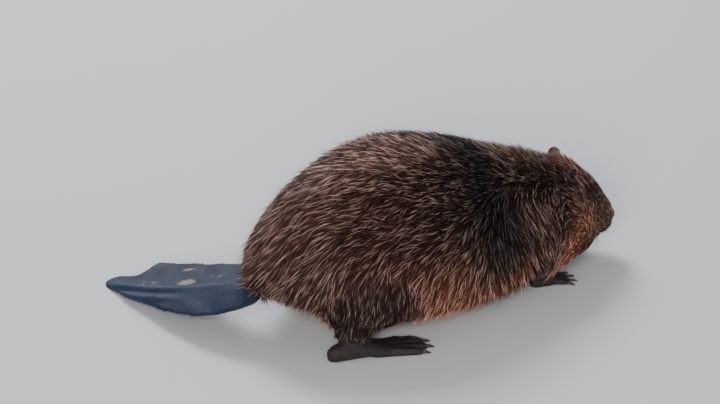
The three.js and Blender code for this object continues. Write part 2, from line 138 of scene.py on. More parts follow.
def relaxed(values, links, rounds, weight=0.5):
    """Values on a mesh's corners, each drawn towards the mean of its neighbours, round after round."""
    count = len(values)
    a, b = links[:, 0], links[:, 1]
    around = np.maximum(np.bincount(np.r_[a, b], minlength=count), 1)
    weight = np.broadcast_to(weight, (count,))
    columns = values.reshape(count, -1).astype(float).copy()
    for _ in range(rounds):
        for k in range(columns.shape[1]):
            v = columns[:, k]
            mean = np.bincount(np.r_[a, b], np.r_[v[b], v[a]], minlength=count) / around
            columns[:, k] = v + weight * (mean - v)
    return columns.reshape(values.shape)


def ramp(x, low, high):
    t = np.clip((x - low) / (high - low), 0, 1)
    return t * t * (3 - 2 * t)


def bump(x, at, wide):
    return np.exp(-(((x - at) / wide) ** 2))


def unit(v):
    return v / np.maximum(np.linalg.norm(v, axis=-1, keepdims=True), 1e-9)


# The head's own axes, from its eyes and nose: forward, to its left, and up, with the braincase at the origin.
eye_left, eye_right, nose_at = (middle_of(node) for node in ("eye_left", "eye_right", "nose"))
head_left = unit(eye_left - eye_right)
to_nose = nose_at - (eye_left + eye_right) / 2
to_nose = unit(to_nose - head_left * (to_nose @ head_left))
over_nose = np.cross(to_nose, head_left)
NOSE_BELOW_EYES, NOSE_BEFORE_EYES = 0.024, 0.061
BRAINCASE_BEHIND_EYES, BRAINCASE_BELOW_EYES = 0.043, 0.019
slope = math.atan2(NOSE_BELOW_EYES, NOSE_BEFORE_EYES)
head_forward = to_nose * math.cos(slope) + over_nose * math.sin(slope)
head_up = over_nose * math.cos(slope) - to_nose * math.sin(slope)
head_at = (eye_left + eye_right) / 2 - head_forward * BRAINCASE_BEHIND_EYES - head_up * BRAINCASE_BELOW_EYES
head_axes = np.stack([head_forward, head_left, head_up])


def in_head(co):
    return (co - head_at) @ head_axes.T


def dropped_specks(me):
    """Keeps a mesh's largest island, and drops any bubble that the melting left inside it."""
    links = edges(me)
    label = np.arange(len(me.vertices))
    while True:
        least = np.minimum(label[links[:, 0]], label[links[:, 1]])
        new = label.copy()
        np.minimum.at(new, links[:, 0], least)
        np.minimum.at(new, links[:, 1], least)
        new = new[new]
        if (new == label).all():
            break
        label = new
    largest = np.bincount(label).argmax()
    if (label == largest).all():
        return
    bm = bmesh.new()
    bm.from_mesh(me)
    bmesh.ops.delete(bm, geom=[v for v, l in zip(bm.verts, label) if l != largest], context="VERTS")
    bm.to_mesh(me)
    bm.free()


skin = one_sheet("skin", FLESH + ["eye_left", "eye_right", "nose"], SKIN_VOXEL, SKIN_SWELL)
dropped_specks(skin.data)


def from_eyes(co):
    return np.minimum(np.linalg.norm(co - eye_left, axis=1), np.linalg.norm(co - eye_right, axis=1))


# Finer quads round the eyes and along the lips, where the lids and the mouth are worked.
fine = bmesh.new()
fine.from_mesh(skin.data)
co = places(skin.data)
near_eye = from_eyes(co) < 0.015
q = in_head(co)
near_lips = (q[:, 0] > 0.07) & (np.abs(q[:, 2] + 0.03) < 0.02) & (np.abs(q[:, 1]) < 0.05)
for wanted, cuts in ((near_eye, 2), (near_lips, 1)):
    old = [e for e in fine.edges if max(v.index for v in e.verts) < len(co)]
    worked = [e for e in old if wanted[e.verts[0].index] and wanted[e.verts[1].index]]
    bmesh.ops.subdivide_edges(fine, edges=worked, cuts=cuts, use_grid_fill=True)
fine.to_mesh(skin.data)
fine.free()

# Which part of the animal each corner of a mesh belongs to, with soft edges between the parts.
REGIONS = ["trunk", "neck", "head", "tail_root", "hind_leg", "foreleg", "hind_foot", "forefoot", "ear"]
corners, faces, owner = [], [], []
for node in FLESH:
    bm = clean_copy(node)
    start = len(corners)
    corners += [v.co.copy() for v in bm.verts]
    faces += [[start + v.index for v in f.verts] for f in bm.faces]
    owner += [next(i for i, region in enumerate(REGIONS) if node.startswith(region))] * len(bm.faces)
    bm.free()
solids = BVHTree.FromPolygons(corners, faces)


def parts_of(me, rounds):
    nearest = [owner[solids.find_nearest(Vector(p))[2]] for p in places(me)]
    share = relaxed(np.eye(len(REGIONS))[nearest], edges(me), rounds)
    return dict(zip(REGIONS, share.T))


co = places(skin.data)
links = edges(skin.data)
part = parts_of(skin.data, 24)
bare = relaxed(np.clip(part["hind_foot"] + part["forefoot"], 0, 1), links, 6)

# The facets are rubbed down: broadly on the body, lightly on the head, and hardly at all on toes and ears.
RUBS = 150
softness = 0.62 * (part["trunk"] + part["neck"] + part["tail_root"])
softness += 0.3 * (part["hind_leg"] + part["foreleg"])
softness += 0.13 * part["head"] + 0.012 * (part["hind_foot"] + part["forefoot"]) + 0.008 * part["ear"]
co = relaxed(co, links, RUBS, softness)
set_places(skin.data, co)

# The coat's depth, which the skin lies under. It is least on the muzzle and grows to the back of the head.
q = in_head(co)
muzzle_depth, nape_depth = 0.0022, 0.009
on_face = muzzle_depth + (nape_depth - muzzle_depth) * ramp(-q[:, 0], -0.085, 0.03)
depth = 0.009 * (part["trunk"] + part["neck"]) + 0.008 * part["tail_root"] + on_face * part["head"]
depth += 0.007 * part["hind_leg"] + 0.006 * part["foreleg"] + 0.0006 * part["ear"]
depth *= 1 - 0.9 * bare
depth = relaxed(depth, links, 20)
co = co - normals(skin.data) * depth[:, None]
co = relaxed(co, links, 3, 0.4 * (1 - bare))

# Lids: the skin mounts over each eyeball, and is tucked under it inside an almond opening.
BALL = 0.0065
OPENING_LENGTH, OPENING_HEIGHT = 0.005, 0.0035  # half of each
LID_THICKNESS = 0.0007
MOUND_EDGE, MOUND_SLOPE = 0.0042, 0.8  # past this distance from its middle, the mound runs out in a slope


def about_eye(co, eye, side):
    """How far each corner is along, across and out from an eye, its place (1 at the lids), and the axes."""
    out = unit(head_forward * 0.34 + head_left * side * 0.9 + head_up * 0.3)
    along = unit(head_forward - out * (head_forward @ out) - head_up * 0.18)
    axes = np.stack([along, np.cross(along, out) * side, out])
    s, t, h = ((co - eye) @ axes.T).T
    narrowing = np.clip(1 - (s / 0.0066) ** 2, 0.12, 1) ** 0.45
    return s, t, h, np.hypot(s / OPENING_LENGTH, (t + 0.0003) / (OPENING_HEIGHT * narrowing)), axes


for eye, side in ((eye_left, 1), (eye_right, -1)):
    s, t, h, opening, axes = about_eye(co, eye, side)
    at_edge = np.abs(opening - 1) < 0.14
    tighten = np.where(at_edge, 1 / np.maximum(opening, 0.5), 1)
    s, t = s * tighten, t * tighten
    wide = np.hypot(s, t)
    dome = np.sqrt(np.maximum(BALL**2 - wide**2, 0))
    mound = np.where(wide < MOUND_EDGE, dome, 0.00496 - MOUND_SLOPE * (wide - MOUND_EDGE))
    rim = 0.0006 * bump(opening, 1.3, 0.25)
    fold = (0.0007 * bump(opening, 2.45, 0.35) - 0.0009 * bump(opening, 1.9, 0.25)) * ramp(t, -0.001, 0.001)
    lid = mound + LID_THICKNESS + rim + fold
    lid = 0.5 * (lid + h + np.hypot(lid - h, 0.001))
    height = np.where((opening < 1) & ~at_edge, dome - 0.0024, lid)
    worked = (np.hypot(s, t) < 0.016) & (h > -0.006)
    co = np.where(worked[:, None], eye + np.stack([s, t, height], 1) @ axes, co)

# The ears are turned a little further outwards, each about its own middle.
EAR_TURN = math.radians(22)
for ear, hand in (("ear_left", 1), ("ear_right", -1)):
    d = in_head(co) - in_head(middle_of(ear))
    held = ramp(part["ear"], 0.35, 0.85) * (d[:, 1] * hand > -0.03)
    swing = hand * EAR_TURN
    forward = d[:, 0] * math.cos(swing) - d[:, 1] * math.sin(swing) - d[:, 0]
    sideways = d[:, 0] * math.sin(swing) + d[:, 1] * math.cos(swing) - d[:, 1]
    co += held[:, None] * (forward[:, None] * head_forward + sideways[:, None] * head_left)

# The line of the mouth, and the cleft of the upper lip under the nose. Nothing dips under the floor.
MOUTH_DEPTH, CLEFT_DEPTH = 0.0034, 0.002
q = in_head(co)
mouth_z = -0.0335 - 0.1 * (q[:, 0] - 0.09) + 0.05 * np.abs(q[:, 1])
mouth = bump(q[:, 2], mouth_z, 0.0018) * ramp(q[:, 0], 0.066, 0.08) * part["head"]
cleft = bump(q[:, 1], 0, 0.0013) * ramp(q[:, 0], 0.09, 0.1) * (q[:, 2] < -0.014) * (q[:, 2] > -0.034)
co -= normals(skin.data) * (MOUTH_DEPTH * mouth + CLEFT_DEPTH * cleft)[:, None]
co[:, 2] = np.maximum(co[:, 2], 0.0001)
set_places(skin.data, co)


# Few faces are needed under the long coat. They are thinned there, and kept on the face, ears and feet.
DEEP_COAT = 0.0055
group = skin.vertex_groups.new(name="under the coat")
group.add([int(i) for i in np.flatnonzero(depth > DEEP_COAT)], 1.0, "REPLACE")
thinning = skin.modifiers.new("Thinning", "DECIMATE")
thinning.ratio = 0.33
thinning.vertex_group = group.name
settle(skin)
skin.vertex_groups.clear()


def give(me, name, values):
    """Stores one number, one direction or one colour for each corner of a mesh."""
    width = {1: "FLOAT", 3: "FLOAT_VECTOR", 4: "FLOAT_COLOR"}[values.shape[1] if values.ndim > 1 else 1]
    field = {"FLOAT": "value", "FLOAT_VECTOR": "vector", "FLOAT_COLOR": "color"}[width]
    kept = me.attributes.get(name) or me.attributes.new(name, width, "POINT")
    kept.data.foreach_set(field, values.astype(np.float32).ravel())


def dye(red, green, blue):
    """A colour from its everyday 0 to 255 numbers to the linear ones that materials take."""
    c = np.array([red, green, blue]) / 255
    return np.where(c < 0.04045, c / 12.92, ((c + 0.055) / 1.055) ** 2.4)


# The markings: how light and how red the fur is from place to place, and the colour of bare hide, with some
# painted light.
me = skin.data
co, n, links = places(me), normals(me), edges(me)
part = parts_of(me, 10)
q = in_head(co)
x, y, z = co.T
side = np.abs(q[:, 1])
body = part["trunk"] + part["neck"] + part["tail_root"]
MARKINGS = {
    "brown coat": dye(83, 53, 45),
    "painted sheen on the back": dye(136, 110, 102),
    "rump": dye(94, 68, 58),
    "low side": dye(128, 87, 71),
    "belly": dye(138, 92, 70),
    "thigh": dye(58, 36, 31),
    "foreleg": dye(58, 42, 36),
    "dark side": dye(42, 25, 20),
    "wet shoulder in painted shade": dye(11, 5, 4),
    "throat": dye(56, 35, 29),
    "head": dye(76, 46, 37),
    "behind the cheek": dye(40, 26, 23),
    "cheek": dye(158, 106, 78),
    "crown": dye(128, 86, 66),
    "muzzle": dye(138, 112, 90),
    "ear": dye(72, 48, 39),
    "inside the ear": dye(30, 22, 20),
    "bare hide": dye(46, 40, 38),
}
tone = np.tile(MARKINGS["brown coat"], (len(co), 1))


def stain(marking, weight):
    global tone
    tone = tone + np.clip(weight, 0, 1)[:, None] * (MARKINGS[marking] - tone)


# Painted sheen: the fur on the back that faces up is made lighter, as if the sky shone on it.
stain("painted sheen on the back", body * ramp(n[:, 2], 0.8, 0.99))
stain("rump", body * ramp(-x, 0.1, 0.22))
low_side = ramp(-z, -0.19, -0.11) * ramp(x, -0.24, -0.1) * (1 - ramp(x, 0.05, 0.12))
stain("low side", 0.65 * body * low_side)
stain("belly", ramp(-z, -0.15, -0.05) * body * ramp(x, -0.22, -0.12))
stain("thigh", part["hind_leg"] * ramp(-z, -0.15, -0.08) * 0.9)
stain("foreleg", part["foreleg"])
dark_side = ramp(x, -0.11, 0.0) * ramp(z, 0.1, 0.17) * (1 - 0.7 * ramp(n[:, 2], 0.6, 0.95))
stain("dark side", 0.5 * body * dark_side)
# Painted shade: the black band across the shoulder is partly wet fur and partly painted shadow.
stain("wet shoulder in painted shade", 0.95 * body * bump(x, 0.118, 0.06) * ramp(z, 0.06, 0.12))
stain("throat", part["neck"] * ramp(-z, -0.18, -0.11))
stain("head", part["head"])
stain("behind the cheek", part["head"] * ramp(-q[:, 0], -0.02, 0.02) * ramp(side, 0.025, 0.045))
cheek = bump(q[:, 0], 0.045, 0.025) * ramp(side, 0.015, 0.035) * ramp(-q[:, 2], -0.01, 0.03) * part["head"]
stain("cheek", cheek)
crown = bump(q[:, 0], 0.0, 0.026) * ramp(q[:, 2], 0.018, 0.036)
stain("crown", crown)
stain("muzzle", ramp(q[:, 0], 0.062, 0.092) * part["head"])
whole_ear = part["ear"] * 1.3
into_ear = 0.54 * (n @ head_forward) + 0.8 * (n @ head_left) * np.sign(q[:, 1])
stain("ear", whole_ear)
stain("inside the ear", whole_ear * ramp(into_ear, 0.1, 0.5))

# The bare hide: feet, the edges of the lids, the nose's surround and the cleft under it.
NOSE_HALVES = (0.012, 0.0165, 0.0135)  # forward, to each side and up
bare = np.clip(part["hind_foot"] + part["forefoot"] - 0.25 * (z > 0.03), 0, 1)
from_eye = from_eyes(co)
opening = np.minimum(about_eye(co, eye_left, 1)[3], about_eye(co, eye_right, -1)[3])
bare = np.maximum(bare, (1 - ramp(opening, 1.5, 1.9)) * (from_eye < 0.01))
from_nose = np.linalg.norm(((co - nose_at) @ head_axes.T) / NOSE_HALVES, axis=1)
bare = np.maximum(bare, 1 - ramp(from_nose, 1.0, 1.25))
in_cleft = (q[:, 2] < -0.02) * (q[:, 2] > -0.033) * (side < 0.004)
bare = np.maximum(bare, ramp(q[:, 0], 0.095, 0.1) * in_cleft)
stain("bare hide", bare)
give(me, "tone", np.c_[tone, np.ones(len(tone))])
give(me, "bare", bare)


# The lie of the coat: rearwards along the spine, slanting down the sides, straight down at the shoulder.
def along_skin(direction):
    d = np.broadcast_to(np.array(direction, float), n.shape)
    return d - n * (n * d).sum(1, keepdims=True)


upright = np.clip(n[:, 2], -1, 1)
slant = math.radians(4) + math.radians(44) * ramp(-z, -0.21, -0.08)
slant += math.radians(58) * ramp(x, 0.06, 0.14) * ramp(-z, -0.24, -0.17)
slant += math.radians(26) * ramp(-x, 0.08, 0.2)
slant = np.minimum(slant, math.radians(80))
slant *= (1 - ramp(upright, 0.4, 0.98)) * (1 - 0.8 * ramp(-upright, 0.5, 0.95))
rear, down = along_skin((-1, 0, 0)), along_skin((0, 0, -1))
lie = rear * np.cos(slant)[:, None] + down * np.sin(slant)[:, None]
lie *= (part["trunk"] + part["neck"])[:, None]
lie += along_skin((-0.62, 0.2, -0.75)) * part["tail_root"][:, None]
lie += (0.5 * rear + 0.9 * down) * part["hind_leg"][:, None] + (0.2 * rear + down) * part["foreleg"][:, None]
back_of_head = along_skin(-head_forward)
down_cheek = along_skin(-head_up - 0.2 * head_forward)
on_cheek = ramp(-q[:, 2], -0.02, 0.03) * ramp(-q[:, 0], -0.06, 0.0)
lie += (back_of_head + 1.3 * down_cheek * on_cheek[:, None]) * part["head"][:, None]
for eye in (eye_left, eye_right):
    lie += along_skin(unit(co - eye)) * (1.1 * bump(np.linalg.norm(co - eye, axis=1), 0.006, 0.007))[:, None]
lie += along_skin(head_up - 0.4 * head_forward) * part["ear"][:, None]
lie += along_skin((1, 0, -0.1)) * (part["hind_foot"] + part["forefoot"])[:, None]
lie = relaxed(lie, links, 12)
lie = unit(lie - n * (n * lie).sum(1, keepdims=True))

# The length of the hair, its thickness, how steeply it rises and how densely it stands.
reach = 0.028 * part["trunk"] + 0.026 * part["neck"] + 0.024 * part["tail_root"]
reach += 0.008 * ramp(-z, -0.1, -0.03) * part["trunk"]
jowl = ramp(-q[:, 2], -0.005, 0.035) * bump(q[:, 0], 0.005, 0.045) * part["head"]
on_head = 0.0065 + 0.02 * ramp(-q[:, 0], -0.09, 0.02) + 0.006 * cheek + 0.015 * jowl
reach += on_head * part["head"] + 0.017 * part["hind_leg"] + 0.015 * part["foreleg"] + 0.0026 * part["ear"]
reach += 0.006 * (part["hind_foot"] + part["forefoot"])
by_ear = relaxed(part["ear"], links, 30) * (1 - part["ear"])
reach *= (1 - 0.66 * bump(from_eye, 0.005, 0.009)) * (1 - np.clip(2.2 * by_ear, 0, 0.68))
girth = 0.0006 + 0.024 * reach
rise = 0.34 - 0.06 * part["head"] - 0.08 * ramp(-x, 0.2, 0.26)
rise += 0.25 * crown + 0.35 * jowl + 0.12 * by_ear - 0.16 * part["ear"]
rise += ramp(n[:, 2], 0.5, 0.9) * (0.2 * bump(x, -0.04, 0.09) + 0.3 * part["neck"])
thick = 1 + 1.6 * part["head"] * ramp(q[:, 0], -0.02, 0.06) + 0.6 * part["foreleg"] + 3.5 * part["ear"]
thick *= 1 - np.clip(bare * 1.15, 0, 1)
for name, values in (("lie", lie), ("reach", reach), ("girth", girth), ("rise", rise), ("thick", thick)):
    give(me, name, values)
me.shade_smooth()


# ---- Coat --------------------------------------------------------------------------------------------------
# Guard hair in locks: each lock is a thin solid spindle, rooted in the skin and laid along the coat. One rule
# grows them everywhere. It is run on one area of the skin after another, so that no mesh is too heavy.


def add(tree, kind, inputs=None, **settings):
    """A node with its settings, each input either a value or another node's output."""
    made = tree.nodes.new(kind)
    for name, value in settings.items():
        setattr(made, name, value)
    for key, value in (inputs or {}).items():
        if isinstance(value, bpy.types.NodeSocket):
            tree.links.new(value, made.inputs[key])
        else:
            made.inputs[key].default_value = value
    return made


def calc(tree, operation, *values):
    return add(tree, "ShaderNodeMath", dict(enumerate(values)), operation=operation).outputs[0]


def vec(tree, operation, *values):
    made = add(tree, "ShaderNodeVectorMath", dict(enumerate(values)), operation=operation)
    return made.outputs["Value" if operation in ("LENGTH", "DOT_PRODUCT") else "Vector"]


def scaled(tree, vector, by):
    return add(tree, "ShaderNodeVectorMath", {0: vector, "Scale": by}, operation="SCALE").outputs[0]


def split(tree, vector):
    return add(tree, "ShaderNodeSeparateXYZ", {0: vector}).outputs


def joined(tree, x, y, z):
    return add(tree, "ShaderNodeCombineXYZ", {0: x, 1: y, 2: z}).outputs[0]


def read(tree, name, kind="FLOAT"):
    return add(tree, "GeometryNodeInputNamedAttribute", {"Name": name}, data_type=kind).outputs["Attribute"]


def kept(tree, geometry, name, value, kind="FLOAT", domain="POINT"):
    inputs = {"Geometry": geometry, "Name": name, "Value": value}
    return add(tree, "GeometryNodeStoreNamedAttribute", inputs, data_type=kind, domain=domain).outputs[0]


def tree_of(name, kind, takes, gives):
    """An empty node tree with its named sockets, and the sockets of its own input and output nodes."""
    tree = bpy.data.node_groups.new(name, kind)
    for sockets, way in ((takes, "INPUT"), (gives, "OUTPUT")):
        for key, socket in sockets.items():
            tree.interface.new_socket(key, in_out=way, socket_type="NodeSocket" + socket)
    return tree, tree.nodes.new("NodeGroupInput").outputs, tree.nodes.new("NodeGroupOutput").inputs


def grown(ob, tree, values):
    """Runs a tree on an object with the values for its inputs, and leaves a plain mesh."""
    modifier = ob.modifiers.new(tree.name, "NODES")
    modifier.node_group = tree
    for item in tree.interface.items_tree:
        if item.in_out == "INPUT" and item.name in values:
            modifier[item.identifier] = values[item.name]
    settle(ob)
    if ob.data.materials[0] is None:  # the empty slot of the bare mesh it grew on
        ob.data.materials.pop(index=0)


coat_inputs = {"Mesh": "Geometry", "Locks per square metre": "Float", "Seed": "Int", "Clump size": "Float"}
coat_inputs |= {"Clumping": "Float", "Guard hairs": "Float", "Unruliness": "Float", "Hair": "Material"}
coat_rule, given, result = tree_of("Coat", "GeometryNodeTree", coat_inputs, {"Mesh": "Geometry"})
t = coat_rule

# How a long, pale guard hair differs from the rest: each is added to the others' value.
GUARD = {"clumping": -0.6, "rise": 0.07, "length": 0.25, "thickness": -0.12}

# Roots on the skin, each with its own luck, and its clump's.
density = calc(t, "MULTIPLY", given["Locks per square metre"], read(t, "thick"))
inputs = {"Mesh": given["Mesh"], "Density": density, "Seed": given["Seed"]}
roots = add(t, "GeometryNodeDistributePointsOnFaces", inputs)
outward = roots.outputs["Normal"]
at = add(t, "GeometryNodeInputPosition").outputs[0]
per_metre = calc(t, "DIVIDE", 1.0, given["Clump size"])
clump = add(t, "ShaderNodeTexVoronoi", {"Vector": at, "Scale": per_metre, "Randomness": 1.0})
clump_luck = split(t, clump.outputs["Color"])
own_luck = []
for k in range(4):
    own_seed = calc(t, "ADD", given["Seed"], k + 1.0)
    own_luck.append(add(t, "FunctionNodeRandomValue", {"Seed": own_seed}, data_type="FLOAT").outputs[1])
towards_clump = vec(t, "SUBTRACT", clump.outputs["Position"], at)
off_skin = scaled(t, outward, vec(t, "DOT_PRODUCT", towards_clump, outward))
is_guard = calc(t, "GREATER_THAN", own_luck[0], calc(t, "SUBTRACT", 1.0, given["Guard hairs"]))
clumping = calc(t, "MULTIPLY", given["Clumping"], calc(t, "MULTIPLY_ADD", is_guard, GUARD["clumping"], 1.0))
pull = scaled(t, vec(t, "SUBTRACT", towards_clump, off_skin), clumping)

# Which way each lock lies: along the coat, stirred by slow waves, by its clump and a little by itself.
WAVES_PER_METRE = 24.0
BY_WAVES, BY_CLUMP, BY_ITSELF = 1.7, 0.55, 0.5
HALF = (0.5, 0.5, 0.5)
waves = add(t, "ShaderNodeTexNoise", {"Vector": at, "Scale": WAVES_PER_METRE, "Detail": 1.0}).outputs["Color"]
stirred = scaled(t, vec(t, "SUBTRACT", waves, HALF), BY_WAVES)
by_clump = scaled(t, vec(t, "SUBTRACT", clump.outputs["Color"], HALF), BY_CLUMP)
by_itself = scaled(t, vec(t, "SUBTRACT", joined(t, *own_luck[:3]), HALF), BY_ITSELF)
stir = scaled(t, vec(t, "ADD", vec(t, "ADD", stirred, by_clump), by_itself), given["Unruliness"])
heading = vec(t, "ADD", read(t, "lie", "FLOAT_VECTOR"), stir)
heading = vec(t, "SUBTRACT", heading, scaled(t, outward, vec(t, "DOT_PRODUCT", heading, outward)))
steep = calc(t, "MULTIPLY", read(t, "rise"), calc(t, "ADD", 0.55, calc(t, "MULTIPLY", own_luck[3], 0.9)))
steep = calc(t, "MULTIPLY_ADD", is_guard, GUARD["rise"], steep)
heading = vec(t, "ADD", vec(t, "NORMALIZE", heading), scaled(t, outward, steep))
turn = add(t, "FunctionNodeAxesToRotation", {0: heading, 1: outward}, primary_axis="Z", secondary_axis="X")

# One lock: a three-sided spindle along Z, one unit long, flat against the skin, and widest near its root.
FLATNESS = 0.62
ball = add(t, "GeometryNodeMeshUVSphere", {"Segments": 3, "Rings": 3, "Radius": 1.0}).outputs["Mesh"]
bx, by, bz = split(t, at)
stretch = add(t, "ShaderNodeFloatCurve", {"Value": calc(t, "MULTIPLY_ADD", bz, 0.5, 0.5)})
points = stretch.mapping.curves[0].points
points[0].location, points[1].location = (0, 0), (1, 1)
points.new(0.25, 0.16)
points.new(0.75, 0.6)
for point in points:
    point.handle_type = "VECTOR"
stretch.mapping.update()
shape = joined(t, calc(t, "MULTIPLY", bx, FLATNESS), by, stretch.outputs[0])
spindle = add(t, "GeometryNodeSetPosition", {"Geometry": ball, "Position": shape}).outputs[0]
_, wide_at, long_at = split(t, at)
spindle = kept(t, kept(t, spindle, "along", long_at), "across", wide_at)

# The locks on their roots, longer or shorter, thicker or thinner, by their own luck and their clump's.
SHORTEST, OWN_LENGTH, CLUMP_LENGTH = 0.62, 0.45, 0.3
THINNEST, OWN_THICKNESS = 0.3, 0.3
cloud = kept(t, roots.outputs["Points"], "pull", pull, "FLOAT_VECTOR")
cloud = kept(t, cloud, "outward", outward, "FLOAT_VECTOR")
luck = calc(t, "ADD", calc(t, "MULTIPLY", own_luck[1], 0.42), calc(t, "MULTIPLY", clump_luck[0], 0.18))
luck = calc(t, "ADD", luck, calc(t, "MULTIPLY", is_guard, calc(t, "MULTIPLY_ADD", own_luck[2], 0.25, 0.4)))
cloud = kept(t, cloud, "luck", luck)
cloud = kept(t, cloud, "bend", calc(t, "SUBTRACT", own_luck[1], 0.5))
by_clump = calc(t, "MULTIPLY", clump_luck[1], CLUMP_LENGTH)
grow_by = calc(t, "ADD", calc(t, "MULTIPLY", own_luck[2], OWN_LENGTH), by_clump)
grow_by = calc(t, "ADD", grow_by, SHORTEST)
grow_by = calc(t, "MULTIPLY", grow_by, calc(t, "MULTIPLY_ADD", is_guard, GUARD["length"], 1.0))
long = calc(t, "MULTIPLY", read(t, "reach"), grow_by)
fat = calc(t, "ADD", THINNEST, calc(t, "MULTIPLY", own_luck[3], OWN_THICKNESS))
fat = calc(t, "MULTIPLY", read(t, "girth"), fat)
fat = calc(t, "MULTIPLY", fat, calc(t, "MULTIPLY_ADD", is_guard, GUARD["thickness"], 1.0))
size = joined(t, fat, fat, long)
inputs = {"Points": cloud, "Instance": spindle, "Rotation": turn.outputs[0], "Scale": size}
locks = add(t, "GeometryNodeInstanceOnPoints", inputs).outputs[0]
locks = add(t, "GeometryNodeRealizeInstances", {"Geometry": locks}).outputs[0]

# Each lock bends: its end is drawn to the middle of its clump, sags to the skin, and curls a little to one
# side. No lock goes through the floor.
LOWEST_HAIR = 0.0008
SAG, CURL, BENDS_LATE = -0.16, 0.4, 1.6
along = read(t, "along")
late = calc(t, "POWER", along, BENDS_LATE)
sag = calc(t, "MULTIPLY", calc(t, "MULTIPLY", read(t, "reach"), SAG), late)
sideways = vec(t, "CROSS_PRODUCT", read(t, "outward", "FLOAT_VECTOR"), read(t, "lie", "FLOAT_VECTOR"))
curl = calc(t, "MULTIPLY", calc(t, "MULTIPLY", read(t, "bend"), read(t, "reach")), CURL)
curl = calc(t, "MULTIPLY", curl, late)
shift = scaled(t, read(t, "pull", "FLOAT_VECTOR"), late)
shift = vec(t, "ADD", shift, scaled(t, read(t, "outward", "FLOAT_VECTOR"), sag))
shift = vec(t, "ADD", shift, scaled(t, sideways, curl))
bent = add(t, "GeometryNodeSetPosition", {"Geometry": locks, "Offset": shift}).outputs[0]
bent_x, bent_y, bent_z = split(t, at)
pressed = joined(t, bent_x, bent_y, calc(t, "MAXIMUM", bent_z, LOWEST_HAIR))
bent = add(t, "GeometryNodeSetPosition", {"Geometry": bent, "Position": pressed}).outputs[0]

# Its patch on the unwrap: a small square at the place of its root, on a cylinder round the area.
PATCH = 0.003
UNWRAP_SHARE, UNWRAP_EDGE = 0.97, 0.012
round_x, round_y, round_far = split(t, read(t, "round", "FLOAT_VECTOR"))
angle = calc(t, "MULTIPLY_ADD", calc(t, "ARCTAN2", round_y, round_x), UNWRAP_SHARE / (2 * math.pi), 0.5)
root_at = calc(t, "MULTIPLY_ADD", round_far, UNWRAP_SHARE, UNWRAP_EDGE)
patch_across = calc(t, "MULTIPLY_ADD", read(t, "across"), PATCH / 2, angle)
patch = joined(t, patch_across, calc(t, "MULTIPLY_ADD", along, PATCH, root_at), 0.0)
bent = kept(t, bent, "OFBake", patch, "FLOAT2", "CORNER")
bent = add(t, "GeometryNodeSetShadeSmooth", {"Geometry": bent}).outputs[0]
bent = add(t, "GeometryNodeSetMaterial", {"Geometry": bent, "Material": given["Hair"]})
t.links.new(bent.outputs[0], result["Mesh"])


def stored(tree, name, output="Fac"):
    return add(tree, "ShaderNodeAttribute", attribute_name=name).outputs[output]


def mapped(tree, value, low, high, to_low=0.0, to_high=1.0):
    inputs = {"Value": value, "From Min": low, "From Max": high, "To Min": to_low, "To Max": to_high}
    return add(tree, "ShaderNodeMapRange", inputs).outputs[0]


def blend(tree, share, first, second):
    return add(tree, "ShaderNodeMix", {0: share, 6: first, 7: second}, data_type="RGBA").outputs[2]


def fur_colour():
    """The colour of hair: dark at the root, its own tone halfway, and pale at the tip of lucky locks."""
    takes = {"Along": "Float", "Luck": "Float"}
    tree, given, result = tree_of("Fur colour", "ShaderNodeTree", takes, {"Colour": "Color"})
    straw = (0.62, 0.52, 0.46, 1)
    tone = stored(tree, "tone", "Color")
    by_length = mapped(tree, given["Along"], 0.0, 0.7, 0.08, 1.1)
    by_luck = calc(tree, "MULTIPLY_ADD", calc(tree, "POWER", given["Luck"], 2.1), 2.9, 0.22)
    warm = vec(tree, "MULTIPLY", tone, (1.12, 0.9, 0.84))
    shaded = scaled(tree, warm, calc(tree, "MULTIPLY", by_length, by_luck))
    red = add(tree, "ShaderNodeSeparateColor", {"Color": tone}).outputs[0]
    bleached = mapped(tree, red, 0.0, 0.05, 0.17, 0.52)
    pale = blend(tree, bleached, scaled(tree, tone, 5.0), straw)
    tip, guard = mapped(tree, given["Along"], 0.12, 0.6), mapped(tree, given["Luck"], 0.64, 0.95)
    share = calc(tree, "MULTIPLY", calc(tree, "MULTIPLY", tip, guard), 0.95)
    tree.links.new(blend(tree, share, shaded, pale), result["Colour"])
    return tree


fur_group = fur_colour()


def finish(name, roughness, **sockets):
    """A new material, its tree, and its Principled shader with the roughness and any other sockets set."""
    made = bpy.data.materials.new(name)
    made.use_nodes = True
    shader = made.node_tree.nodes["Principled BSDF"]
    shader.inputs["Roughness"].default_value = roughness
    for key, value in sockets.items():
        shader.inputs[key.replace("_", " ")].default_value = value
    return made, made.node_tree, shader


hair, t, shader = finish("Guard hair", roughness=0.36, Specular_IOR_Level=0.36)
inputs = {"Along": stored(t, "along"), "Luck": stored(t, "luck")}
coloured = add(t, "ShaderNodeGroup", inputs, node_tree=fur_group)
t.links.new(coloured.outputs["Colour"], shader.inputs["Base Color"])


# The areas: each face of the skin belongs to the first area that claims its middle.
def face_means(me, values):
    loops = np.empty(len(me.loops), np.int32)
    me.loops.foreach_get("vertex_index", loops)
    starts = np.empty(len(me.polygons), np.int32)
    me.polygons.foreach_get("loop_start", starts)
    count = np.diff(np.r_[starts, len(loops)])
    return np.add.reduceat(values[loops], starts) / count


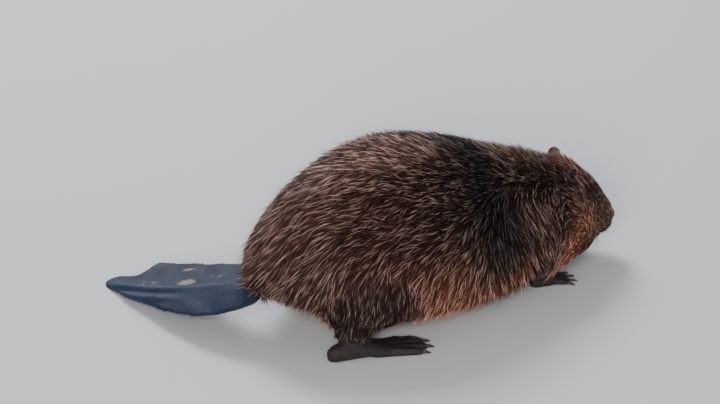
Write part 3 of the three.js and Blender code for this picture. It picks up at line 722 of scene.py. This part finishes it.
fx, fy, fqx, fqy, fup = (face_means(me, v) for v in (x, y, q[:, 0], q[:, 1], n[:, 2]))
share = {k: face_means(me, v) for k, v in part.items()}
MIDDLE = float(middle_of("trunk")[1])
legs = share["hind_leg"] + share["foreleg"] + share["hind_foot"] + share["forefoot"] > 0.5
AREAS = {
    "face_left": (share["head"] + share["ear"] > 0.5) & (fqx > 0.012) & (fqy > 0),
    "face_right": (share["head"] + share["ear"] > 0.5) & (fqx > 0.012),
    "crown": share["head"] + share["ear"] > 0.5,
    "legs": legs,
    "neck": share["neck"] > 0.5,
    "rump": fx < -0.165,
    "shoulder_left": (fx > 0.1) & (fy > MIDDLE),
    "shoulder_right": fx > 0.1,
    "belly": fup < -0.35,
    "loins": (fup > 0.72) & (fx < -0.035),
    "withers": fup > 0.72,
    "flank_left": fy > MIDDLE,
    "flank_right": fy <= MIDDLE,
}


def area_of(name, chosen):
    """A copy of the skin that has only some of its faces, with its place on a cylinder round it."""
    bm = bmesh.new()
    bm.from_mesh(skin.data)
    bm.faces.ensure_lookup_table()
    bmesh.ops.delete(bm, geom=[f for f, c in zip(bm.faces, chosen) if not c], context="FACES")
    patch = mesh_of(bm, name)
    co = places(patch)
    axis = np.array((1.0, 0, 0))
    if name in ("coat_face_left", "coat_face_right", "coat_crown"):
        axis = head_forward
    elif name == "coat_legs":
        axis = np.array((0, 0, 1.0))
    first = unit(np.cross(axis, (0.3, 1, 0.2)))
    d = co - co.mean(0)
    far = d @ axis
    round_it = np.c_[unit(np.c_[d @ first, d @ np.cross(axis, first)]), (far - far.min()) / np.ptp(far)]
    give(patch, "round", round_it)
    return placed(name, patch)


LOCKS = 225000  # on each square metre, where the coat is of middling density
SPENT = ("pull", "outward", "bend", "across", "lie", "reach", "girth", "rise", "thick", "bare", "round")
free = np.ones(len(me.polygons), bool)
for seed, (area, claimed) in enumerate(AREAS.items()):
    chosen = claimed & free
    free &= ~chosen
    piece = area_of("coat_" + area, chosen)
    on_head = area in ("face_left", "face_right", "crown")
    grown(piece, coat_rule, {
        "Locks per square metre": LOCKS * 1, "Seed": seed * 7,
        "Clump size": 0.004 if on_head else 0.005, "Clumping": 0.4,
        "Unruliness": 0.5 if on_head else 0.75, "Guard hairs": 0.13, "Hair": hair,
    })
    for spent in SPENT:
        if spent in piece.data.attributes:
            piece.data.attributes.remove(piece.data.attributes[spent])
    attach(piece, "root")


# ---- Hide under the fur ------------------------------------------------------------------------------------
# The skin's own finish: a dense, dark underfur where the coat grows, in the same markings, and a dry, finely
# creased hide on the feet, the lids and round the nose.
def noise(tree, at, scale, detail):
    return add(tree, "ShaderNodeTexNoise", {"Vector": at, "Scale": scale, "Detail": detail}).outputs["Fac"]


def cells(tree, at, scale):
    """How far each place is from the edges of small irregular cells."""
    inputs = {"Vector": at, "Scale": scale}
    return add(tree, "ShaderNodeTexVoronoi", inputs, feature="DISTANCE_TO_EDGE").outputs[0]


def relief(tree, height, distance, strength):
    inputs = {"Height": height, "Distance": distance, "Strength": strength}
    return add(tree, "ShaderNodeBump", inputs).outputs[0]


hide, t, shader = finish("Hide", roughness=0.62, Specular_IOR_Level=0.3)
underfur = add(t, "ShaderNodeGroup", {"Along": 0.12, "Luck": 0.5}, node_tree=fur_group)
object_at = add(t, "ShaderNodeTexCoord").outputs["Object"]
blotched = calc(t, "MULTIPLY_ADD", noise(t, object_at, 90.0, 3.0), 0.9, 0.55)
blotched = scaled(t, stored(t, "tone", "Color"), blotched)
mixed = blend(t, stored(t, "bare"), underfur.outputs["Colour"], blotched)
t.links.new(mixed, shader.inputs["Base Color"])
creases = calc(t, "MULTIPLY", cells(t, object_at, 520.0), 1.4)
wrinkles = calc(t, "MULTIPLY", noise(t, object_at, 420.0, 4.0), 0.6)
t.links.new(relief(t, calc(t, "ADD", creases, wrinkles), 0.0006, 0.75), shader.inputs["Normal"])
skin.data.materials.clear()
skin.data.materials.append(hide)
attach(skin, "root")
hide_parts(*FLESH)


# ---- Paddle ------------------------------------------------------------------------------------------------
# The flat tail: a tough, dark grey blade with low folds along it, covered on both faces in small six-sided
# horny scales in staggered rows. Its blue tint is a painted sky reflection. Its high edge has an old notch
# near the tip. Dried mud clings to it.
PADDLE_ROOT = np.array((-0.2443, -0.0506, 0.0946))
PADDLE_LENGTH = 0.333
PADDLE_STEPS = 120
spine, blade_side, blade_up = [], [], []
at = PADDLE_ROOT.copy()
for i in range(PADDLE_STEPS + 1):
    s = i / PADDLE_STEPS
    heading, roll = math.radians(130 - 26 * s), math.radians(20 - 11 * s)
    fall = 0.42 - 0.22 * s
    forward = unit(np.array((math.cos(heading), math.sin(heading), -fall)))
    flat = np.array((-math.sin(heading), math.cos(heading), 0))
    blade_side.append(flat * math.cos(roll) - np.array((0, 0, math.sin(roll))))
    blade_up.append(unit(np.cross(forward, blade_side[-1])))
    spine.append(at.copy())
    at += forward * PADDLE_LENGTH / PADDLE_STEPS
spine, blade_side, blade_up = np.array(spine), np.array(blade_side), np.array(blade_up)


def on_paddle(co):
    """How far along the paddle each point is, from 0 to 1, how far across it, and how far above it."""
    nearest = np.array([np.argmin(((spine - p) ** 2).sum(1)) for p in co])
    d = co - spine[nearest]
    return nearest / PADDLE_STEPS, (d * blade_side[nearest]).sum(1), (d * blade_up[nearest]).sum(1)


def outer_fold_at(s):
    """How far from the middle the second fold of the blade runs."""
    return 0.026 - 0.008 * s


MIDDLE_FOLD, OUTER_FOLD, OUTER_GROOVE = 0.0024, 0.0026, 0.0016  # how high or deep each is
SWELLING, FURROWS, RAISED_RIM = 0.0012, 0.0007, 0.006
paddle = one_sheet("paddle", ["tail"], voxel=0.0021, swell=0.0003)
dropped_specks(paddle.data)
co = relaxed(places(paddle.data), edges(paddle.data), 30, 0.5)
set_places(paddle.data, co)
s, across, above = on_paddle(co)
ridge = MIDDLE_FOLD * bump(across, 0, 0.008) * ramp(s, 0.12, 0.3) * (1 - ramp(s, 0.85, 0.97)) * (above > 0)
outer_half = ramp(s, 0.4, 0.6) * (1 - ramp(s, 0.88, 0.98)) * (above > 0)
ridge += OUTER_FOLD * bump(across, outer_fold_at(s), 0.007) * outer_half
ridge -= OUTER_GROOVE * bump(across, outer_fold_at(s) / 2, 0.006) * outer_half
swelling = SWELLING * bump(across, 0, 0.03) * (above > 0)
curled = RAISED_RIM * bump(s, 0.83, 0.06) * ramp(-across, 0.035, 0.075)
furrows = FURROWS * np.sin(s * 34 + across * 60) * ramp(np.abs(across), 0.02, 0.05) * (above > 0)
out = normals(paddle.data)
co += out * (ridge + swelling + furrows)[:, None] + np.array((0, 0, 1.0)) * curled[:, None]
co[:, 2] = np.maximum(co[:, 2], 0.0002)
set_places(paddle.data, co)
paddle.data.shade_smooth()


def muddy(s, across):
    """Where mud clings to the tail: two thick patches, and thinner smears towards the tip and the root."""
    return np.maximum.reduce([
        bump(s, 0.465, 0.06) * bump(across, -0.015, 0.011),
        bump(s, 0.55, 0.06) * bump(across, -0.056, 0.005) * 0.85,
        bump(s, 0.72, 0.16) * bump(across, -0.012, 0.011) * 0.5,
        bump(s, 0.3, 0.08) * bump(across, -0.03, 0.012) * 0.5,
    ])


def fold_sheen(s, across):
    """Where the folds stand up, and a lighter sheen is painted on their horn."""
    outer_fold = ramp(s, 0.35, 0.6) * bump(across, outer_fold_at(s), 0.008)
    return np.maximum(bump(across, 0, 0.009), outer_fold) * ramp(s, 0.1, 0.35)


give(paddle.data, "mud", muddy(s, across))
give(paddle.data, "fold_sheen", fold_sheen(s, across))
blade = BVHTree.FromPolygons([Vector(p) for p in co], [tuple(f.vertices) for f in paddle.data.polygons])

# Where the scales sit: rows across the blade, every other row moved over by half a scale, on both faces.
ROW, COLUMN = 0.0034, 0.0047
HALF_THE_COLUMNS = 20
FLAT_ENOUGH, LOWEST_SCALE = 0.93, 0.0012  # none on the steep rim, nor where the blade touches the floor
sites = []
for row in range(2, int(PADDLE_LENGTH / ROW)):
    s = row * ROW / PADDLE_LENGTH
    i, part_way = divmod(s * PADDLE_STEPS, 1)
    here, beyond = int(i), int(i) + 1
    side_there, up_there = blade_side[here], blade_up[here]
    for column in range(-HALF_THE_COLUMNS, HALF_THE_COLUMNS + 1):
        over = (column + 0.5 * (row % 2)) * COLUMN
        middle = spine[here] + (spine[beyond] - spine[here]) * part_way + side_there * over
        for face in (1, -1):
            start = Vector(middle + up_there * face * 0.04)
            hit, normal, _, _ = blade.ray_cast(start, Vector(-face * up_there), 0.06)
            if hit and abs(normal.dot(Vector(up_there))) > FLAT_ENOUGH and hit.z > LOWEST_SCALE:
                unwrapped = (0.02 + 0.96 * s, 0.5 - 0.25 * face + 3 * over, 0)
                sites.append((hit, normal, spine[beyond] - spine[here], unwrapped, s, over))
hits, upwards, onwards, unwrapped, along_site, over_site = (np.array(column) for column in zip(*sites))
scale_sites = bpy.data.meshes.new("scales")
scale_sites.from_pydata(hits, [], [])
give(scale_sites, "outward", upwards)
give(scale_sites, "lie", onwards)
give(scale_sites, "mud", muddy(along_site, over_site))
give(scale_sites, "fold_sheen", fold_sheen(along_site, over_site))
give(scale_sites, "unwrapped", unwrapped)
scales = placed("scales", scale_sites)

scale_inputs = {"Mesh": "Geometry", "Width": "Float", "Length": "Float", "Height": "Float"}
scale_inputs["Horn"] = "Material"
scale_rule, given, result = tree_of("Scales", "GeometryNodeTree", scale_inputs, {"Mesh": "Geometry"})
t = scale_rule
cloud = add(t, "GeometryNodeMeshToPoints", {"Mesh": given["Mesh"]}).outputs[0]
own_luck = add(t, "FunctionNodeRandomValue", {"Seed": 5}, data_type="FLOAT").outputs[1]
cloud = kept(t, cloud, "luck", own_luck)
inputs = {"Vertices": 6, "Radius Top": 0.62, "Radius Bottom": 1.0, "Depth": 1.0}
plate = add(t, "GeometryNodeMeshCone", inputs).outputs["Mesh"]
plate = kept(t, plate, "flat", add(t, "GeometryNodeInputPosition").outputs[0], "FLOAT_VECTOR")
outward, lie_there = read(t, "outward", "FLOAT_VECTOR"), read(t, "lie", "FLOAT_VECTOR")
tilted = vec(t, "SUBTRACT", vec(t, "NORMALIZE", outward), scaled(t, vec(t, "NORMALIZE", lie_there), 0.1))
turn = add(t, "FunctionNodeAxesToRotation", {0: tilted, 1: lie_there}, primary_axis="Z", secondary_axis="X")
vary = calc(t, "MULTIPLY_ADD", own_luck, 0.22, 0.87)
half = calc(t, "MULTIPLY", vary, 0.5)
size = joined(t, *(calc(t, "MULTIPLY", given[way], half) for way in ("Length", "Width")), given["Height"])
inputs = {"Points": cloud, "Instance": plate, "Rotation": turn.outputs[0], "Scale": size}
plates = add(t, "GeometryNodeInstanceOnPoints", inputs).outputs[0]
plates = add(t, "GeometryNodeRealizeInstances", {"Geometry": plates}).outputs[0]
own_patch = scaled(t, read(t, "flat", "FLOAT_VECTOR"), PATCH)
own_patch = vec(t, "ADD", read(t, "unwrapped", "FLOAT_VECTOR"), own_patch)
plates = kept(t, plates, "OFBake", own_patch, "FLOAT2", "CORNER")
plates = add(t, "GeometryNodeSetMaterial", {"Geometry": plates, "Material": given["Horn"]})
t.links.new(plates.outputs[0], result["Mesh"])


def mud_on_horn():
    """The given horn colour, mottled, painted lighter on the folds as a sheen, with mud where the mesh and a
    fine grain allow it.
    """
    takes = {"Horn": "Color", "Mud colour": "Color", "Luck": "Float"}
    gives = {"Colour": "Color", "Mud": "Float", "Normal": "Vector"}
    tree, given, result = tree_of("Mud on horn", "ShaderNodeTree", takes, gives)
    there = add(tree, "ShaderNodeTexCoord").outputs["Object"]
    mud = calc(tree, "ADD", stored(tree, "mud"), noise(tree, there, 260.0, 4.0))
    mud = calc(tree, "ADD", mud, calc(tree, "MULTIPLY", noise(tree, there, 75.0, 2.0), 0.8))
    mask = mapped(tree, mud, 1.36, 1.56)
    light = calc(tree, "MULTIPLY_ADD", noise(tree, there, 22.0, 5.0), 1.1, 0.42)
    light = calc(tree, "MULTIPLY", light, calc(tree, "MULTIPLY_ADD", given["Luck"], 0.3, 0.85))
    # Painted sheen: the horn is made lighter along the folds.
    light = calc(tree, "MULTIPLY", light, calc(tree, "MULTIPLY_ADD", stored(tree, "fold_sheen"), 0.75, 1.0))
    horn = scaled(tree, given["Horn"], light)
    tree.links.new(blend(tree, mask, horn, given["Mud colour"]), result["Colour"])
    tree.links.new(mask, result["Mud"])
    tree.links.new(relief(tree, noise(tree, there, 700.0, 3.0), 0.0004, 0.5), result["Normal"])
    return tree


mud_group = mud_on_horn()


def horny(name, colour, roughness):
    made, t, shader = finish(name, roughness, Specular_IOR_Level=0.3)
    inputs = {"Horn": (*colour, 1), "Mud colour": (*dye(150, 141, 132), 1), "Luck": stored(t, "luck")}
    coloured = add(t, "ShaderNodeGroup", inputs, node_tree=mud_group)
    t.links.new(coloured.outputs["Colour"], shader.inputs["Base Color"])
    rough = calc(t, "MULTIPLY_ADD", coloured.outputs["Mud"], 0.4, roughness)
    t.links.new(rough, shader.inputs["Roughness"])
    t.links.new(coloured.outputs["Normal"], shader.inputs["Normal"])
    return made


# Both horn colours are dark grey with a painted blue sky reflection mixed into them.
paddle.data.materials.append(horny("Tail hide", dye(28, 38, 58), 0.48))
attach(paddle, "root")
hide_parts("tail")
horn = horny("Tail scales", dye(31, 42, 64), 0.48)
grown(scales, scale_rule, {"Width": 0.0056, "Length": 0.005, "Height": 0.00023, "Horn": horn})
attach(scales, "root")


# ---- Eyes --------------------------------------------------------------------------------------------------
# Two small dark eyeballs, glossy and wet, each in its own socket, with the lids drawn over it. Their faint
# mottling is shared, in other shades, by the nose pad, the claws and the whiskers.
def mottling():
    """Two shades of one colour in soft mottles, of the fineness that each material sets."""
    takes = {"Dark": "Color", "Light": "Color", "Fineness": "Float"}
    tree, given, result = tree_of("Mottling", "ShaderNodeTree", takes, {"Colour": "Color"})
    mottles = noise(tree, add(tree, "ShaderNodeTexCoord").outputs["Object"], given["Fineness"], 4.0)
    tree.links.new(blend(tree, mottles, given["Dark"], given["Light"]), result["Colour"])
    return tree


mottling_group = mottling()


def mottled(name, roughness, dark, light, fineness, **sockets):
    """A new material in two shades, and its tree and Principled shader."""
    made, t, shader = finish(name, roughness, **sockets)
    inputs = {"Dark": (*dark, 1), "Light": (*light, 1), "Fineness": fineness}
    coloured = add(t, "ShaderNodeGroup", inputs, node_tree=mottling_group)
    t.links.new(coloured.outputs["Colour"], shader.inputs["Base Color"])
    return made, t, shader


EYEBALL = BALL + 0.00005
wet = {"Specular_IOR_Level": 0.25, "Coat_Weight": 0.25, "Coat_Roughness": 0.03}
glassy = mottled("Eye", 0.12, dark=dye(9, 6, 5), light=dye(30, 19, 13), fineness=700.0, **wet)[0]
for node in ("eye_left", "eye_right"):
    bm = bmesh.new()
    bmesh.ops.create_uvsphere(bm, u_segments=40, v_segments=24, radius=EYEBALL)
    me = mesh_of(bm, node.replace("eye", "eyeball"))
    set_places(me, places(me) + middle_of(node))
    me.shade_smooth()
    me.materials.append(glassy)
    ball = placed(me.name, me)
    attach(ball, "root")
    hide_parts(node)


# ---- Nose --------------------------------------------------------------------------------------------------
# The bare nose: a broad pad of pebbled leathery skin between the whiskers, grooved down its middle, with a
# comma of a nostril on each side.
NOSTRIL_WIDTH, NOSTRIL_DEPTH, GROOVE_DEPTH = 0.0021, 0.0042, 0.0012
pad = one_sheet("nose_pad", ["nose"], voxel=0.0009, swell=0.0004)
co = relaxed(places(pad.data), edges(pad.data), 30, 0.5)
p = (co - nose_at) @ head_axes.T
pit = np.zeros(len(co))
for hand in (1, -1):
    comma = ((0.0066, -0.0012, 1.0), (0.0082, 0.0006, 1.0), (0.0096, 0.0028, 0.8), (0.0104, 0.0052, 0.5))
    for over, up, deep in comma:
        d = np.hypot(p[:, 1] - hand * over, p[:, 2] - up)
        pit = np.maximum(pit, deep * bump(d, 0, NOSTRIL_WIDTH) * ramp(p[:, 0], -0.006, -0.001))
groove = bump(p[:, 1], 0, 0.0011) * (p[:, 2] < 0.004) * (p[:, 0] > 0)
co -= normals(pad.data) * (NOSTRIL_DEPTH * pit + GROOVE_DEPTH * groove)[:, None]
set_places(pad.data, co)
pad.data.shade_smooth()
shades = {"dark": dye(27, 22, 21), "light": dye(52, 43, 39), "fineness": 320.0}
leather, t, shader = mottled("Nose pad", 0.38, **shades, Specular_IOR_Level=0.5)
pebbles = cells(t, add(t, "ShaderNodeTexCoord").outputs["Object"], 1100.0)
t.links.new(relief(t, pebbles, 0.0004, 0.8), shader.inputs["Normal"])
pad.data.materials.clear()
pad.data.materials.append(leather)
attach(pad, "root")
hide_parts("nose")


# ---- Claws -------------------------------------------------------------------------------------------------
# Twenty dark horn claws, one on each toe, each rounded from its node and grown out from the toe's end.
CLAWS = [n for n in nodes if "claw" in n]
claws = gathered("claws", CLAWS, swell=0.0005)
rounding = claws.modifiers.new("Rounding", "SUBSURF")
rounding.levels = rounding.render_levels = 2
settle(claws)
claws.data.shade_smooth()
shades = {"dark": dye(34, 27, 23), "light": dye(92, 74, 60), "fineness": 260.0}
claw_horn = mottled("Claw", 0.34, **shades, Specular_IOR_Level=0.5)[0]
claws.data.materials.clear()
claws.data.materials.append(claw_horn)
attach(claws, "root")
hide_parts(*CLAWS)


# ---- Whiskers ----------------------------------------------------------------------------------------------
# Stiff dark bristles in rows on the swollen upper lips, and a few over each eye. Each is a tapered rod, set
# in the skin and bent by its own weight.
WHISKER_THICKNESS = 0.00032
WHISKER_STEPS, WHISKER_SIDES = 6, 4
WHISKER_ROOTED = 0.002
corners = [v.co.copy() for v in skin.data.vertices]
surface = BVHTree.FromPolygons(corners, [tuple(f.vertices) for f in skin.data.polygons])
chance = np.random.default_rng(11)
rods = bmesh.new()


def whisker(root, heading, droop, length, thick):
    first = unit(np.cross(heading, (0.1, 0.2, 1)))
    second = np.cross(heading, first)
    turns = [2 * math.pi * c / WHISKER_SIDES for c in range(WHISKER_SIDES)]
    rings = []
    for k in range(WHISKER_STEPS + 1):
        s = k / WHISKER_STEPS
        middle = root + heading * length * s + np.array((0, 0, -droop)) * length * s * s
        wide = thick * (1 - s) ** 0.8 + 0.00003
        around = [first * math.cos(a) + second * math.sin(a) for a in turns]
        rings.append([rods.verts.new(middle + wide * out) for out in around])
    for low, high in zip(rings, rings[1:]):
        for c in range(WHISKER_SIDES):
            beside = (c + 1) % WHISKER_SIDES
            rods.faces.new((low[c], low[beside], high[beside], high[c]))
    rods.faces.new(rings[0][::-1])
    rods.faces.new(rings[-1])


for hand in (1, -1):
    on_lip = [(0.093 - 0.007 * row, 0.015 + 0.002 * row, -0.014 - 0.0055 * line, 0.03 + 0.004 * row)
              for row in range(4) for line in range(4)]
    over_eye = [(0.042 - 0.004 * k, 0.026, 0.032, 0.02) for k in range(3)]
    for forward, out_by, up, length in on_lip + over_eye:
        spot = head_at + np.array((forward, hand * out_by, up)) @ head_axes
        hit, normal, _, _ = surface.find_nearest(Vector(spot))
        heading = unit(np.array(normal) * 0.9 - head_forward * 0.55 + chance.normal(0, 0.12, 3))
        length *= chance.uniform(0.75, 1.2)
        whisker(np.array(hit) - heading * WHISKER_ROOTED, heading, 0.25, length, WHISKER_THICKNESS)
bmesh.ops.recalc_face_normals(rods, faces=rods.faces)
whiskers = placed("whiskers", mesh_of(rods, "whiskers"))
shades = {"dark": dye(26, 20, 18), "light": dye(74, 60, 52), "fineness": 130.0}
bristle = mottled("Whisker", 0.4, **shades)[0]
whiskers.data.materials.append(bristle)
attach(whiskers, "root")


# ---- Floor, light and camera -------------------------------------------------------------------------------
# A plain pale floor under the animal, one broad soft light high in front of it and another behind it, and a
# long lens that looks down on it from its right and a little from behind.
bpy.ops.mesh.primitive_plane_add(size=24)
floor = bpy.context.object
floor.name = "floor"
pale, t, shader = finish("Pale floor", roughness=0.9)
shader.inputs["Base Color"].default_value = (0.72, 0.73, 0.74, 1)
floor.data.materials.append(pale)


def soft_light(name, at, energy, size, colour):
    data = bpy.data.lights.new(name, "AREA")
    data.energy, data.size, data.color = energy, size, colour
    lamp = placed(name, data)
    lamp.location = at
    lamp.rotation_euler = Vector(at).to_track_quat("Z", "Y").to_euler()


soft_light("front light", at=(-2.2, -3.0, 1.9), energy=120, size=1.3, colour=(1.0, 0.97, 0.94))
soft_light("back light", at=(0.4, 2.6, 3.0), energy=130, size=1.6, colour=(0.92, 0.96, 1.0))
world = bpy.data.worlds.new("Studio")
world.use_nodes = True
sky = world.node_tree.nodes["Background"].inputs
sky["Color"].default_value = (0.86, 0.92, 1.0, 1)
sky["Strength"].default_value = 0.36
bpy.context.scene.world = world

AIM = Vector((-0.0399, -0.0006, 0.1643))
AZIMUTH, ELEVATION = math.radians(-30), math.radians(28)
FRAME_WIDTH = 1.163
DISTANCE = 10
towards_camera = Vector((
    math.sin(AZIMUTH) * math.cos(ELEVATION), -math.cos(AZIMUTH) * math.cos(ELEVATION), math.sin(ELEVATION)
))
lens = bpy.data.cameras.new("camera")
lens.lens = lens.sensor_width * DISTANCE / FRAME_WIDTH
camera = placed("camera", lens)
camera.location = AIM + towards_camera * DISTANCE
camera.rotation_euler = towards_camera.to_track_quat("Z", "Y").to_euler()
bpy.context.scene.camera = camera
